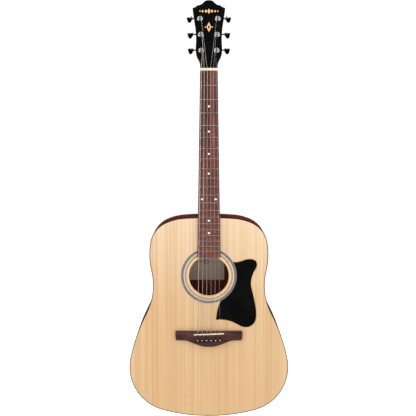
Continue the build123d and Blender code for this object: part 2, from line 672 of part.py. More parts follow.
with BuildPart() as fret_markers:
    between = [(0, (fret_z(n) + fret_z(n - 1)) / 2) for n in MARKER_FRETS]
    octave_z = (fret_z(MARKER_PAIR_FRET) + fret_z(MARKER_PAIR_FRET - 1)) / 2
    between += [(way * MARKER_PAIR_X, octave_z) for way in (-1, 1)]
    with BuildSketch(Plane.XZ.offset(-(BOARD_Y + 2))):
        with Locations(*between):
            Circle(MARKER_R)
    extrude(amount=5)
    crown(Mode.INTERSECT)
write(fret_markers, "fret_markers")

with BuildPart() as fretboard:
    board_prism(BOARD_Y - 1, FACE_Y)
    crown(Mode.INTERSECT)
    add(frets.part, mode=Mode.SUBTRACT)
    add(fret_markers.part, mode=Mode.SUBTRACT)
write(fretboard, "fretboard")

with BuildPart() as nut:
    with BuildSketch(Plane.XY.offset(NUT_Z)):
        with BuildLine():
            half = NUT_HALF_WIDTH
            top_height = NUT_TOP + 0.35
            shoulder_y = surface_y(half, top_height)
            ThreePointArc((-half, shoulder_y), (0, surface_y(0, top_height)), (half, shoulder_y))
            Polyline((half, shoulder_y), (half, FACE_Y), (-half, FACE_Y), (-half, shoulder_y))
        make_face()
    extrude(amount=NUT_T)
    add(wound_strings.part, mode=Mode.SUBTRACT)
    add(plain_strings.part, mode=Mode.SUBTRACT)
    with BuildSketch(HEAD) as seat:
        with Locations((0, NUT_T)):
            Rectangle(3 * half, 2 * NUT_T)
    extrude(seat.sketch, amount=-HEAD_T, mode=Mode.SUBTRACT)
write(nut, "nut")

with BuildPart() as truss_rod:
    with Locations((0, ROD_Y, NUT_Z - ROD_START)):
        Cylinder(ROD_R, NUT_Z - ROD_START - BODY_TOP_Z + NECK_BLOCK_LENGTH + ROD_THREAD,
                 align=(Align.CENTER, Align.CENTER, Align.MAX))
write(truss_rod, "truss_rod")

ROD_NUT_Z = BODY_TOP_Z - NECK_BLOCK_LENGTH - ROD_NUT_GAP
with BuildPart() as truss_rod_nut:
    with Locations((0, ROD_Y, ROD_NUT_Z)):
        Cylinder(ROD_NUT_R, ROD_NUT_LENGTH, align=(Align.CENTER, Align.CENTER, Align.MAX))
        Cylinder(ROD_R + RUNNING_GAP, 2 * ROD_THREAD, mode=Mode.SUBTRACT)
    with BuildSketch(Plane.XY.offset(ROD_NUT_Z - ROD_NUT_LENGTH)):
        with Locations((0, ROD_Y)):
            RegularPolygon(ROD_NUT_SOCKET_R, 6)
    extrude(amount=ROD_NUT_SOCKET_DEPTH, mode=Mode.SUBTRACT)
write(truss_rod_nut, "truss_rod_nut")

# ---------------------------------------------------------------- headstock
FLUSH = HEAD.offset(VENEER_T)
INLAY_T = 0.5
LOZENGE_W = 111               # large lozenge and the row of small ones, above the nut
ROW_W = 152
with BuildPart() as headstock_inlay:
    with BuildSketch(FLUSH):
        with Locations((0, LOZENGE_W)):
            Polygon((-6, 0), (0, 13), (6, 0), (0, -13), align=None)
            Polygon((-2.6, 0), (0, 6), (2.6, 0), (0, -6), align=None, mode=Mode.SUBTRACT)
        for way in (-1, 1):
            with Locations((way * 8.6, LOZENGE_W)):
                Circle(1.5)
            for step, size in ((7.5, 3.4), (15.5, 2.7), (22, 2.0)):
                with Locations((way * step, ROW_W)):
                    Polygon((-size, 0), (0, 1.3 * size), (size, 0), (0, -1.3 * size), align=None)
        with Locations((0, ROW_W)):
            Polygon((-3.6, 0), (0, 7), (3.6, 0), (0, -7), align=None)
    extrude(amount=-INLAY_T)
write(headstock_inlay, "headstock_inlay")

with BuildPart() as headstock_veneer:
    with BuildSketch(HEAD):
        head_outline(VENEER_START)
    extrude(amount=VENEER_T)
    with Locations(*[HEAD.location * Location((x, w, 0)) for x, w in POSTS]):
        Cylinder(BUSHING_R, 3 * HEAD_T, mode=Mode.SUBTRACT)
    add(headstock_inlay.part, mode=Mode.SUBTRACT)
write(headstock_veneer, "headstock_veneer")

# ---------------------------------------------------------------- one tuner, in its own frame
# x points outwards along the knob's shaft, y along the headstock, z out of its face;
# the post stands on the origin.
WORM_LENGTH = WORM_TURNS * 2 * pi * GEAR_PITCH_R / GEAR_TEETH


WORM_AXIS = Plane(origin=(0, WORM_AXIS_Y, WORM_AXIS_Z), x_dir=(0, 1, 0), z_dir=(1, 0, 0))

with BuildPart() as knob:
    with BuildSketch(Plane((0, WORM_AXIS_Y, WORM_AXIS_Z))):
        with BuildLine():
            Spline([(KNOB_START + KNOB_LENGTH, 0), (KNOB_START + 14.6, 5.2), (KNOB_START + 11.8, 9.7),
                    (KNOB_START + 8.2, 11), (KNOB_START + 4.9, 9), (KNOB_START + 2.2, 4.6),
                    (KNOB_START, 2.4)], tangents=[(0, 1), (-1, -0.5)])
            Line((KNOB_START, 2.4), (KNOB_START, 0))
            mirror(about=Plane.XZ)
        make_face()
    extrude(amount=KNOB_HALF_T, both=True)
    for way in (-1, 1):
        crown_z = WORM_AXIS_Z - way * (KNOB_CROWN_R - KNOB_HALF_T)
        with Locations((KNOB_START + KNOB_LENGTH / 2, WORM_AXIS_Y, crown_z)):
            Sphere(KNOB_CROWN_R, mode=Mode.INTERSECT)
    fillet(knob.edges().filter_by(Axis.Z, reverse=True), radius=KNOB_EDGE_R)

with BuildSketch() as worm_section:
    with Locations((WORM_ECCENTRICITY, 0)):
        Circle(WORM_R)
worm_thread = Solid.extrude_linear_with_rotation(
    worm_section.sketch.faces()[0], (0, 0, 0), (0, 0, WORM_LENGTH), 360 * WORM_TURNS)
with BuildPart() as worm_shaft:
    with BuildSketch(WORM_AXIS.offset(WORM_LENGTH / 2)):
        Circle(WORM_SHAFT_R)
    extrude(amount=KNOB_START - WORM_LENGTH / 2)
    with BuildSketch(WORM_AXIS.offset(-WORM_LENGTH / 2)):
        Circle(WORM_TIP_R)
    extrude(amount=-2.4)
    add(WORM_AXIS.location * Location((0, 0, -WORM_LENGTH / 2)) * worm_thread)

with BuildPart() as post:
    with BuildSketch(Plane.XZ):
        with BuildLine():
            Polyline((0, HOUSING_FLOOR + 1.8), (POST_R, HOUSING_FLOOR + 1.8), (POST_R, 3.9),
                     (POST_WAIST_R, 4.7), (POST_WAIST_R, 10.0), (POST_R, 10.8),
                     (POST_R, POST_TOP - 0.6), (POST_R - 0.6, POST_TOP), (1.6, POST_TOP),
                     (0, POST_TOP - 1.4), close=True)
        make_face()
    revolve(axis=Axis.Z)
    with Locations(Location((0, 0, POST_HOLE_H), (0, 90, 0))):
        Cylinder(POST_HOLE_R, 4 * POST_R, mode=Mode.SUBTRACT)

TOOTH_ROOT_HALF = 0.75
TOOTH_TIP_HALF = 0.22
with BuildPart() as gear:
    with BuildSketch(Plane.XY.offset(WORM_AXIS_Z - GEAR_T / 2)):
        Circle(GEAR_ROOT_R)
        with PolarLocations(0, GEAR_TEETH, start_angle=90):
            Polygon((GEAR_ROOT_R - 0.4, -TOOTH_ROOT_HALF), (GEAR_ROOT_R + 0.2, -TOOTH_ROOT_HALF),
                    (GEAR_TIP_R, -TOOTH_TIP_HALF), (GEAR_TIP_R, TOOTH_TIP_HALF),
                    (GEAR_ROOT_R + 0.2, TOOTH_ROOT_HALF), (GEAR_ROOT_R - 0.4, TOOTH_ROOT_HALF),
                    align=None)
        Circle(POST_R, mode=Mode.SUBTRACT)
    extrude(amount=GEAR_T)

with BuildPart() as housing:
    with BuildSketch(Plane.XY.offset(-HEAD_T)):
        with Locations((0.5, 2.2)):
            RectangleRounded(18, 20.8, 4)
    extrude(amount=HOUSING_FLOOR + HEAD_T)
    fillet(housing.faces().sort_by(Axis.Z)[0].edges(), radius=HOUSING_WALL)
    with BuildSketch(Plane.XY.offset(-HEAD_T)):
        with Locations((0, EAR_Y)):
            SlotOverall(13, 7, rotation=90)
    extrude(amount=-EAR_T)
    with BuildSketch(Plane.XY.offset(WORM_AXIS_Z - 1.8)):
        Circle(GEAR_TIP_R + 0.5)
    extrude(amount=3.6, mode=Mode.SUBTRACT)
    with BuildSketch(WORM_AXIS.offset(-CAVITY_HALF)):
        Circle(3.5)
    extrude(amount=2 * CAVITY_HALF, mode=Mode.SUBTRACT)
    with BuildSketch(WORM_AXIS):
        Circle(WORM_SHAFT_R + RUNNING_GAP)
    extrude(amount=12, mode=Mode.SUBTRACT)
    with BuildSketch(WORM_AXIS):
        Circle(WORM_TIP_R + RUNNING_GAP)
    extrude(amount=-8, mode=Mode.SUBTRACT)
    with BuildSketch(Plane.XY.offset(-HEAD_T)):
        Circle(POST_R + RUNNING_GAP)
    extrude(amount=HOUSING_FLOOR + HEAD_T + HOUSING_WALL, mode=Mode.SUBTRACT)
    with BuildSketch(Plane.XY.offset(-HEAD_T)):
        with Locations((0, EAR_SCREW_Y)):
            Circle(EAR_SCREW_R)
    extrude(amount=-3, mode=Mode.SUBTRACT)

with BuildPart() as bushing:
    with BuildSketch(Plane.XZ):
        with BuildLine():
            bore_r = POST_R + RUNNING_GAP
            flange_top = VENEER_T + BUSHING_FLANGE_H
            Polyline((bore_r, -HEAD_T), (BUSHING_R, -HEAD_T), (BUSHING_R, VENEER_T),
                     (BUSHING_FLANGE_R, VENEER_T), (BUSHING_FLANGE_R, VENEER_T + 0.5))
            ThreePointArc((BUSHING_FLANGE_R, VENEER_T + 0.5), (BUSHING_FLANGE_R - 1, flange_top - 0.5),
                          (BUSHING_R - 0.5, flange_top))
            Polyline((BUSHING_R - 0.5, flange_top), (bore_r, flange_top), (bore_r, -HEAD_T))
        make_face()
    revolve(axis=Axis.Z)

with BuildPart() as ear_screw:
    with BuildSketch(Plane.XZ):
        with BuildLine():
            seat_z = -HEAD_T - EAR_T
            Polyline((0, seat_z - 1.6), (1.4, seat_z - 1.4), (2.2, seat_z - 0.4), (2.2, seat_z),
                     (EAR_SCREW_R, seat_z), (EAR_SCREW_R, -HEAD_T), (0, -HEAD_T), close=True)
        make_face()
    revolve(axis=Axis.Z)


def place(piece, number):
    """A tuner piece moved to its post, mirrored on the bass side so its shaft points outwards."""
    post_x, post_w = POSTS[number]
    own = piece.mirror(Plane.YZ) if post_x < 0 else piece
    return own.moved(HEAD.location * Location((post_x, post_w, 0)))


with BuildPart() as tuner_housings:
    for number in range(6):
        add(place(housing.part, number))
write(tuner_housings, "tuner_housings")

with BuildPart() as tuner_bushings:
    for number in range(6):
        add(place(bushing.part, number))
write(tuner_bushings, "tuner_bushings")

with BuildPart() as tuner_screws:
    for number in range(6):
        add(place(ear_screw.part.moved(Location((0, EAR_SCREW_Y, 0))), number))
write(tuner_screws, "tuner_screws")

for number in range(6):
    with BuildPart() as knob_here:
        add(place(knob.part, number))
        add(place(worm_shaft.part, number))
    write(knob_here, f"tuner_knob_{number + 1}")
    with BuildPart() as post_here:
        add(place(post.part, number))
        add(place(gear.part, number))
    write(post_here, f"string_post_{number + 1}")

for number in range(6):
    with BuildPart() as wraps:
        diameter = STRING_D[number]
        post_x, post_w = POSTS[number]
        for turn in range(WRAP_TURNS[number]):
            height = POST_RUN_H + WRAP_GAP + (turn + 1) * diameter
            with Locations(HEAD.location * Location((post_x, post_w, height))):
                Torus(POST_WAIST_R + diameter / 2, diameter / 2)
    write(wraps, f"string_wraps_{number + 1}")

# ---------------------------------------------------------------- strap button
with BuildPart() as strap_button:
    with BuildSketch(Plane.XZ):
        with BuildLine():
            Polyline((0, 0), (6, 0), (7, 1), (7, 4), (3.6, 6), (3.6, 8), (6.5, 9.2),
                     (6.5, BUTTON_LENGTH), (0, BUTTON_LENGTH), close=True)
        make_face()
    revolve(axis=Axis.Z)
    with BuildSketch(Plane.XY):
        Circle(SCREW_R)
    extrude(amount=BUTTON_LENGTH, mode=Mode.SUBTRACT)
    with BuildSketch(Plane.XY):
        Circle(3.6)
    extrude(amount=2, mode=Mode.SUBTRACT)
write(strap_button, "strap_button")

with BuildPart() as strap_screw:
    with BuildSketch(Plane.XY.offset(0.2)):
        Circle(3.6)
    extrude(amount=1.8)
    with BuildSketch(Plane.XY.offset(2)):
        Circle(SCREW_R)
    extrude(amount=SCREW_LENGTH - 6)
write(strap_screw, "strap_screw")
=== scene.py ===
"""The acoustic guitar's looks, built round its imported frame. Metres, +Z along the neck, soundboard to -Y."""
import json
import math

import bmesh
import bpy
from mathutils import Matrix, Vector


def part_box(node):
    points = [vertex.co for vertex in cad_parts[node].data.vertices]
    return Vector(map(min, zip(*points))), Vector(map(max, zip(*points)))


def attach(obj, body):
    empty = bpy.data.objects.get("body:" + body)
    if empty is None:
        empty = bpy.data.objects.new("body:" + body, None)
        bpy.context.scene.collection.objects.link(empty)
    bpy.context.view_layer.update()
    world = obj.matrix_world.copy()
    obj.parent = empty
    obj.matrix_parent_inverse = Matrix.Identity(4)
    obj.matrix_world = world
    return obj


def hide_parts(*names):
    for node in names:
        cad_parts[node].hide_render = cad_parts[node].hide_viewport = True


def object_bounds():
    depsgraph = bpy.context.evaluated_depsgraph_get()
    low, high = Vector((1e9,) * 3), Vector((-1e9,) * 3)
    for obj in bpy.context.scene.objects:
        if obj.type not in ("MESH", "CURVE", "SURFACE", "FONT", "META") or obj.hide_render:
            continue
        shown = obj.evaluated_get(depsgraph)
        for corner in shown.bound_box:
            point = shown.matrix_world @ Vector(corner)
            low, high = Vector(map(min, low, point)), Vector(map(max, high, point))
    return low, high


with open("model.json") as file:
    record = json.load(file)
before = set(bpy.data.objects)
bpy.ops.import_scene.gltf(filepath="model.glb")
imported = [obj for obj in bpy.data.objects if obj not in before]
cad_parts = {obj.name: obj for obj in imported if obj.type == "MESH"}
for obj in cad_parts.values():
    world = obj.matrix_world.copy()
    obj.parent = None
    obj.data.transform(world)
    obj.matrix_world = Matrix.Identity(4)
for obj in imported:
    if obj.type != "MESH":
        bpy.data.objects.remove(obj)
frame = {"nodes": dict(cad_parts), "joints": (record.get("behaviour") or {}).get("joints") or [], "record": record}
cad_low, cad_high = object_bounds()
nodes = frame["nodes"]
joints = {joint["name"]: joint for joint in frame["joints"]}
MM = 0.001

STRING_GAUGES = (1.35, 1.07, 0.81, 0.61, 0.41, 0.30)      # low E to high E, millimetres
WRAP_TURNS = (2, 3, 3, 4, 5, 6)                           # each string's windings on its post
WOUND_STRINGS = 4                                         # the lowest strings are wound
STRING_COUNT = 6

# ---------------------------------------------------------------- places taken from the frame
face_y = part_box("soundboard")[0].y
nut_low, nut_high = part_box("nut")
nut_z = nut_low.z
rosette_low, rosette_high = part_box("rosette")
hole_x = (rosette_low.x + rosette_high.x) / 2
hole_z = (rosette_low.z + rosette_high.z) / 2
body_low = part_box("soundboard")[0]
board_low, board_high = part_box("fretboard")
nut_half = nut_high.x
board_half = board_high.x


# ---------------------------------------------------------------- shader helpers
def srgb(red, green, blue):
    """An 0-255 display colour as linear RGBA."""
    def linear(value):
        value /= 255
        return value / 12.92 if value <= 0.04045 else ((value + 0.055) / 1.055) ** 2.4
    return (linear(red), linear(green), linear(blue), 1.0)


class Shader:
    """A material and short ways to add and join its nodes."""

    def __init__(self, name):
        self.material = bpy.data.materials.new(name)
        self.material.use_nodes = True
        self.tree = self.material.node_tree
        self.bsdf = self.tree.nodes["Principled BSDF"]

    def add(self, kind, **properties):
        node = self.tree.nodes.new(kind)
        for name, value in properties.items():
            setattr(node, name, value)
        return node

    def join(self, source, target):
        self.tree.links.new(source, target)

    def put(self, socket, value):
        """Join value if it is a socket, else set it."""
        if isinstance(value, bpy.types.NodeSocket):
            self.join(value, socket)
        else:
            socket.default_value = value

    def base(self, **values):
        """Set the Principled shader's own sockets; underscores stand for spaces."""
        for name, value in values.items():
            self.put(self.bsdf.inputs[name.replace("_", " ")], value)
        return self

    def place(self, stretch=(1, 1, 1), shift=(0, 0, 0), turn=(0, 0, 0)):
        """Object coordinates in metres, stretched along each axis."""
        coords = self.add("ShaderNodeTexCoord")
        mapping = self.add("ShaderNodeMapping")
        mapping.inputs["Scale"].default_value = stretch
        mapping.inputs["Location"].default_value = shift
        mapping.inputs["Rotation"].default_value = turn
        self.join(coords.outputs["Object"], mapping.inputs["Vector"])
        return mapping.outputs["Vector"]

    def noise(self, vector, scale=1.0, detail=4.0, rough=0.5, distort=0.0):
        node = self.add("ShaderNodeTexNoise")
        self.join(vector, node.inputs["Vector"])
        node.inputs["Scale"].default_value = scale
        node.inputs["Detail"].default_value = detail
        node.inputs["Roughness"].default_value = rough
        node.inputs["Distortion"].default_value = distort
        return node.outputs["Fac"]

    def cells(self, vector):
        """A different colour in each of many small cells."""
        node = self.add("ShaderNodeTexVoronoi")
        self.join(vector, node.inputs["Vector"])
        node.inputs["Scale"].default_value = 1.0
        return node.outputs["Color"]

    def ramp(self, factor, *stops, mode="LINEAR"):
        """A colour ramp; each stop is (position, colour or grey value)."""
        node = self.add("ShaderNodeValToRGB")
        node.color_ramp.interpolation = mode
        elements = node.color_ramp.elements
        while len(elements) < len(stops):
            elements.new(0.5)
        for element, (position, colour) in zip(elements, stops):
            element.position = position
            element.color = colour if isinstance(colour, tuple) else (colour, colour, colour, 1)
        self.put(node.inputs["Fac"], factor)
        return node.outputs["Color"]

    def mix(self, factor, first, second, blend="MIX"):
        node = self.add("ShaderNodeMix", data_type="RGBA", blend_type=blend)
        self.put(node.inputs[0], factor)
        self.put(node.inputs[6], first)
        self.put(node.inputs[7], second)
        return node.outputs[2]

    def math(self, operation, first, second=0.0, third=0.0):
        node = self.add("ShaderNodeMath", operation=operation)
        self.put(node.inputs[0], first)
        self.put(node.inputs[1], second)
        self.put(node.inputs[2], third)
        return node.outputs[0]

    def span(self, value, low, high, out_low=0.0, out_high=1.0):
        """value mapped from one range to another, clamped."""
        node = self.add("ShaderNodeMapRange")
        self.put(node.inputs["Value"], value)
        node.inputs["From Min"].default_value = low
        node.inputs["From Max"].default_value = high
        node.inputs["To Min"].default_value = out_low
        node.inputs["To Max"].default_value = out_high
        return node.outputs["Result"]

    def axes(self, vector):
        node = self.add("ShaderNodeSeparateXYZ")
        self.join(vector, node.inputs[0])
        return node.outputs[0], node.outputs[1], node.outputs[2]

    def bump(self, height, distance, strength=1.0):
        node = self.add("ShaderNodeBump")
        self.join(height, node.inputs["Height"])
        node.inputs["Distance"].default_value = distance
        node.inputs["Strength"].default_value = strength
        self.join(node.outputs["Normal"], self.bsdf.inputs["Normal"])


# ---------------------------------------------------------------- materials
def spruce():
    """Pale softwood: fine straight year rings, warmer streaks of uneven width, a silky cross figure."""
    s = Shader("spruce")
    broad = s.noise(s.place((17, 1, 0.35), (3.1, 0, 0)), detail=2, rough=0.6)
    streak = s.noise(s.place((185, 1, 0.4), (0.7, 0, 5)), detail=5, rough=0.75)
    thread = s.noise(s.place((240, 1, 0.45), (2.2, 0, 1)), detail=2, rough=0.6)
    fade = s.noise(s.place((60, 1, 5), (0, 0, 8)), detail=2)
    warp = s.noise(s.place((2, 1, 2.4)), detail=2)
    x, _, z = s.axes(s.place())
    ring = s.math("ADD", s.math("MULTIPLY", x, 560.0), s.math("MULTIPLY", warp, 9.0))
    late = s.ramp(s.math("FRACT", ring), (0.0, 0.0), (0.62, 0.12), (0.9, 1.0), (1.0, 0.0))
    late = s.math("MULTIPLY", late, s.span(streak, 0.35, 0.7, 0.25, 1.0))
    tone = s.ramp(streak, (0.35, srgb(221, 198, 165)), (0.46, srgb(209, 180, 142)),
                  (0.55, srgb(199, 164, 121)), (0.66, srgb(182, 138, 90)))
    tone = s.mix(s.span(broad, 0.40, 0.66, 0.0, 0.55), tone, srgb(190, 152, 106))
    # painted shade and light: darker and warmer towards the bottom of the body, paler higher up
    tone = s.mix(s.span(z, body_low.z + 0.50, body_low.z + 0.06, 0.0, 0.45), tone, srgb(186, 146, 98))
    tone = s.mix(s.span(z, body_low.z + 0.30, body_low.z + 0.50, 0.0, 0.45), tone, srgb(224, 203, 175))
    lines = s.math("MULTIPLY", s.span(thread, 0.58, 0.66, 0.0, 0.62), s.span(fade, 0.35, 0.6))
    tone = s.mix(lines, tone, srgb(190, 132, 78))
    tone = s.mix(s.math("MULTIPLY", late, 0.28), tone, srgb(168, 122, 78))
    silk = s.noise(s.place((70, 1, 420), (9, 0, 2)), detail=2)
    tone = s.mix(s.span(silk, 0.6, 0.8, 0.0, 0.10), tone, srgb(232, 206, 168))
    s.base(Base_Color=tone, Roughness=s.span(streak, 0.3, 0.7, 0.32, 0.42), IOR=1.5, Coat_Weight=0.25,
           Coat_Roughness=0.2)
    s.bump(late, 0.00004, 0.35)
    return s.material


def mahogany(name, across, pore_across, dark, mid, light, gloss, coat):
    """Reddish-brown open-pored wood; across gives the stretches, large across the grain."""
    s = Shader(name)
    broad = s.noise(s.place(across), detail=4, rough=0.6, distort=0.6)
    fine = s.noise(s.place(tuple(6 * v for v in across), (4, 1, 7)), detail=5, rough=0.7)
    pore = s.noise(s.place(pore_across, (1, 5, 2)), detail=2, rough=0.5)
    pores = s.ramp(pore, (0.60, 0.0), (0.68, 1.0))
    tone = s.ramp(broad, (0.28, srgb(*dark)), (0.5, srgb(*mid)), (0.74, srgb(*light)))
    tone = s.mix(s.span(fine, 0.35, 0.7, 0.0, 0.55), tone, srgb(*dark))
    deepest = srgb(dark[0] * 0.5, dark[1] * 0.45, dark[2] * 0.4)
    tone = s.mix(s.math("MULTIPLY", pores, 0.65), tone, deepest)
    s.base(Base_Color=tone, Roughness=s.span(fine, 0.3, 0.7, gloss, gloss + 0.14), IOR=1.5,
           Coat_Weight=coat, Coat_Roughness=0.12)
    s.bump(pores, 0.00005, -0.4)
    return s.material


def fretboard_wood():
    s = Shader("fretboard_wood")
    broad = s.noise(s.place((120, 40, 2.2), (2, 0, 0.3)), detail=4, rough=0.62, distort=0.8)
    patch = s.noise(s.place((16, 10, 3.4), (0, 0, 3)), detail=3)
    fine = s.noise(s.place((900, 500, 16)), detail=4, rough=0.7)
    pore = s.noise(s.place((1500, 900, 45), (5, 0, 0)), detail=1)
    pores = s.ramp(pore, (0.62, 0.0), (0.70, 1.0))
    x, _, z = s.axes(s.place())
    tone = s.ramp(broad, (0.36, srgb(40, 18, 14)), (0.48, srgb(84, 37, 26)), (0.62, srgb(142, 71, 46)))
    tone = s.mix(s.span(patch, 0.35, 0.7, 0.0, 0.35), tone, srgb(84, 46, 38))
    tone = s.mix(s.span(z, nut_z, board_low.z, 0.0, 0.5), tone, srgb(138, 64, 40))
    tone = s.mix(s.span(fine, 0.4, 0.7, 0.0, 0.4), tone, srgb(58, 27, 21))
    tone = s.mix(s.math("MULTIPLY", pores, 0.6), tone, srgb(36, 18, 15))
    # painted shade: the board darkens towards both side edges, where shade falls on its sharp edges
    half = s.span(z, nut_z, board_low.z, nut_half, board_half)
    edge = s.math("SUBTRACT", half, s.math("ABSOLUTE", x))
    tone = s.mix(s.span(edge, 0.0004, 0.0022, 0.7, 0.0), tone, srgb(48, 30, 28))
    s.base(Base_Color=tone, Roughness=s.span(fine, 0.3, 0.7, 0.42, 0.58), IOR=1.48)
    s.bump(pores, 0.00006, -0.6)
    return s.material


def bridge_wood():
    s = Shader("bridge_wood")
    broad = s.noise(s.place((5, 60, 120), (1, 0, 4)), detail=4, rough=0.6, distort=0.5)
    fine = s.noise(s.place((22, 500, 700)), detail=4, rough=0.7)
    pore = s.noise(s.place((60, 900, 1500), (5, 0, 0)), detail=1)
    pores = s.ramp(pore, (0.62, 0.0), (0.70, 1.0))
    tone = s.ramp(broad, (0.36, srgb(46, 20, 16)), (0.5, srgb(72, 33, 25)), (0.66, srgb(98, 48, 36)))
    tone = s.mix(s.span(fine, 0.4, 0.72, 0.0, 0.4), tone, srgb(52, 27, 27))
    tone = s.mix(s.math("MULTIPLY", pores, 0.7), tone, srgb(28, 15, 15))
    s.base(Base_Color=tone, Roughness=s.span(fine, 0.3, 0.7, 0.40, 0.55), IOR=1.48)
    s.bump(pores, 0.00006, -0.6)
    return s.material


def inner_wood():
    s = Shader("inner_wood")
    grain = s.noise(s.place((60, 60, 14)), detail=4, rough=0.65, distort=0.4)
    saw = s.noise(s.place((900, 900, 200)), detail=3)
    tone = s.ramp(grain, (0.3, srgb(196, 160, 112)), (0.6, srgb(220, 188, 140)))
    s.base(Base_Color=tone, Roughness=0.75)
    s.bump(saw, 0.00008, 0.3)
    return s.material


def black_gloss(name, rough, scuff):
    """Black lacquer or plastic with faint swirl marks in its gloss."""
    s = Shader(name)
    haze = s.noise(s.place((26, 26, 26)), detail=5, rough=0.6)
    scratch = s.noise(s.place((300, 60, 40), turn=(0, 0.5, 0.4)), detail=2)
    tone = s.mix(s.span(haze, 0.4, 0.75), srgb(9, 9, 9), srgb(17, 16, 16))
    gloss = s.math("ADD", s.span(haze, 0.35, 0.7, rough, rough + 0.07),
                   s.span(scratch, 0.66, 0.8, 0.0, scuff))
    s.base(Base_Color=tone, Roughness=gloss, IOR=1.5)
    s.bump(scratch, 0.00001, 0.15)
    return s.material


def shell_rings():
    """The rosette: pinstripes round an inner pale band and an outer band of grey shell."""
    s = Shader("rosette_inlay")
    x, _, z = s.axes(s.place(shift=(-hole_x, 0, -hole_z)))
    reach = s.math("SQRT", s.math("ADD", s.math("MULTIPLY", x, x), s.math("MULTIPLY", z, z)))
    radius = s.math("MULTIPLY", reach, 1000.0)
    patch = s.noise(s.place((120, 120, 120), (1, 2, 3)), detail=3, rough=0.6, distort=1.5)
    flake = s.cells(s.place((260, 260, 260)))
    shell = s.ramp(patch, (0.30, srgb(66, 76, 90)), (0.46, srgb(92, 102, 116)),
                   (0.60, srgb(80, 90, 104)), (0.76, srgb(150, 158, 164)))
    shell = s.mix(0.06, shell, flake)
    stripe = s.ramp(s.span(radius, 53.5, 70.0), (0.0, srgb(214, 184, 144)), (0.155, srgb(66, 70, 78)),
                    (0.225, srgb(206, 188, 158)), (0.285, srgb(66, 70, 78)),
                    (0.6, srgb(46, 50, 58)), (0.645, srgb(132, 136, 140)), (0.675, srgb(50, 54, 62)),
                    (0.905, srgb(132, 136, 140)), (0.94, srgb(46, 50, 58)), mode="CONSTANT")
    band = s.math("MULTIPLY", s.math("GREATER_THAN", radius, 64.7), s.math("LESS_THAN", radius, 68.4))
    tone = s.mix(band, stripe, shell)
    s.base(Base_Color=tone, Roughness=s.span(patch, 0.3, 0.7, 0.18, 0.3), IOR=1.52,
           Coat_Weight=0.4, Coat_Roughness=0.1)
    return s.material


def pearl(name, light, dark):
    s = Shader(name)
    patch = s.noise(s.place((300, 300, 300)), detail=3, distort=2.0)
    tone = s.ramp(patch, (0.3, srgb(*dark)), (0.65, srgb(*light)))
    s.base(Base_Color=tone, Roughness=s.span(patch, 0.3, 0.7, 0.16, 0.28), IOR=1.53,
           Coat_Weight=0.5, Coat_Roughness=0.08)
    return s.material


def bone():
    s = Shader("bone")
    patch = s.noise(s.place((180, 60, 60)), detail=4, rough=0.6)
    fleck = s.noise(s.place((1500, 700, 700)), detail=2)
    tone = s.ramp(patch, (0.3, srgb(222, 208, 186)), (0.7, srgb(206, 188, 160)))
    tone = s.mix(s.span(fleck, 0.62, 0.75, 0.0, 0.25), tone, srgb(178, 156, 124))
    s.base(Base_Color=tone, Roughness=s.span(patch, 0.3, 0.7, 0.28, 0.4), Subsurface_Weight=0.12,
           Subsurface_Scale=0.002)
    s.bump(fleck, 0.00002, 0.2)
    return s.material


def metal(name, colour, rough, spread, stretch=(400, 400, 400), deep=0.2):
    """Polished or brushed metal with smudges and fine marks in its gloss."""
    s = Shader(name)
    smudge = s.noise(s.place((60, 60, 60)), detail=4, rough=0.6)
    fine = s.noise(s.place(stretch), detail=3, rough=0.6)
    gloss = s.math("ADD", s.span(smudge, 0.35, 0.7, rough, rough + spread),
                   s.span(fine, 0.4, 0.8, 0.0, spread))
    tone = s.mix(s.span(smudge, 0.4, 0.75, 0.0, 0.4), srgb(*colour), srgb(*(0.86 * c for c in colour)))
    s.base(Base_Color=tone, Metallic=1.0, Roughness=gloss)
    s.bump(fine, 0.00001, deep)
    return s.material


def wound_wire():
    """Bronze wire wound round a core: ridges across the string."""
    s = Shader("phosphor_bronze")
    x, _, z = s.axes(s.place())
    lay = s.math("FRACT", s.math("ADD", s.math("MULTIPLY", z, 2200.0), s.math("MULTIPLY", x, 700.0)))
    ridge = s.ramp(lay, (0.0, 0.0), (0.5, 1.0), (1.0, 0.0))
    age = s.noise(s.place((60, 60, 9)), detail=4)
    tone = s.mix(s.span(age, 0.35, 0.7, 0.0, 0.6), srgb(226, 219, 213), srgb(206, 196, 188))
    # painted shade: darker in the grooves between the turns of wire
    tone = s.mix(s.span(ridge, 0.0, 0.5, 0.45, 0.0), tone, srgb(120, 106, 96))
    s.base(Base_Color=tone, Metallic=1.0, Roughness=s.span(age, 0.3, 0.7, 0.36, 0.5))
    s.bump(ridge, 0.00008, 0.7)
    return s.material


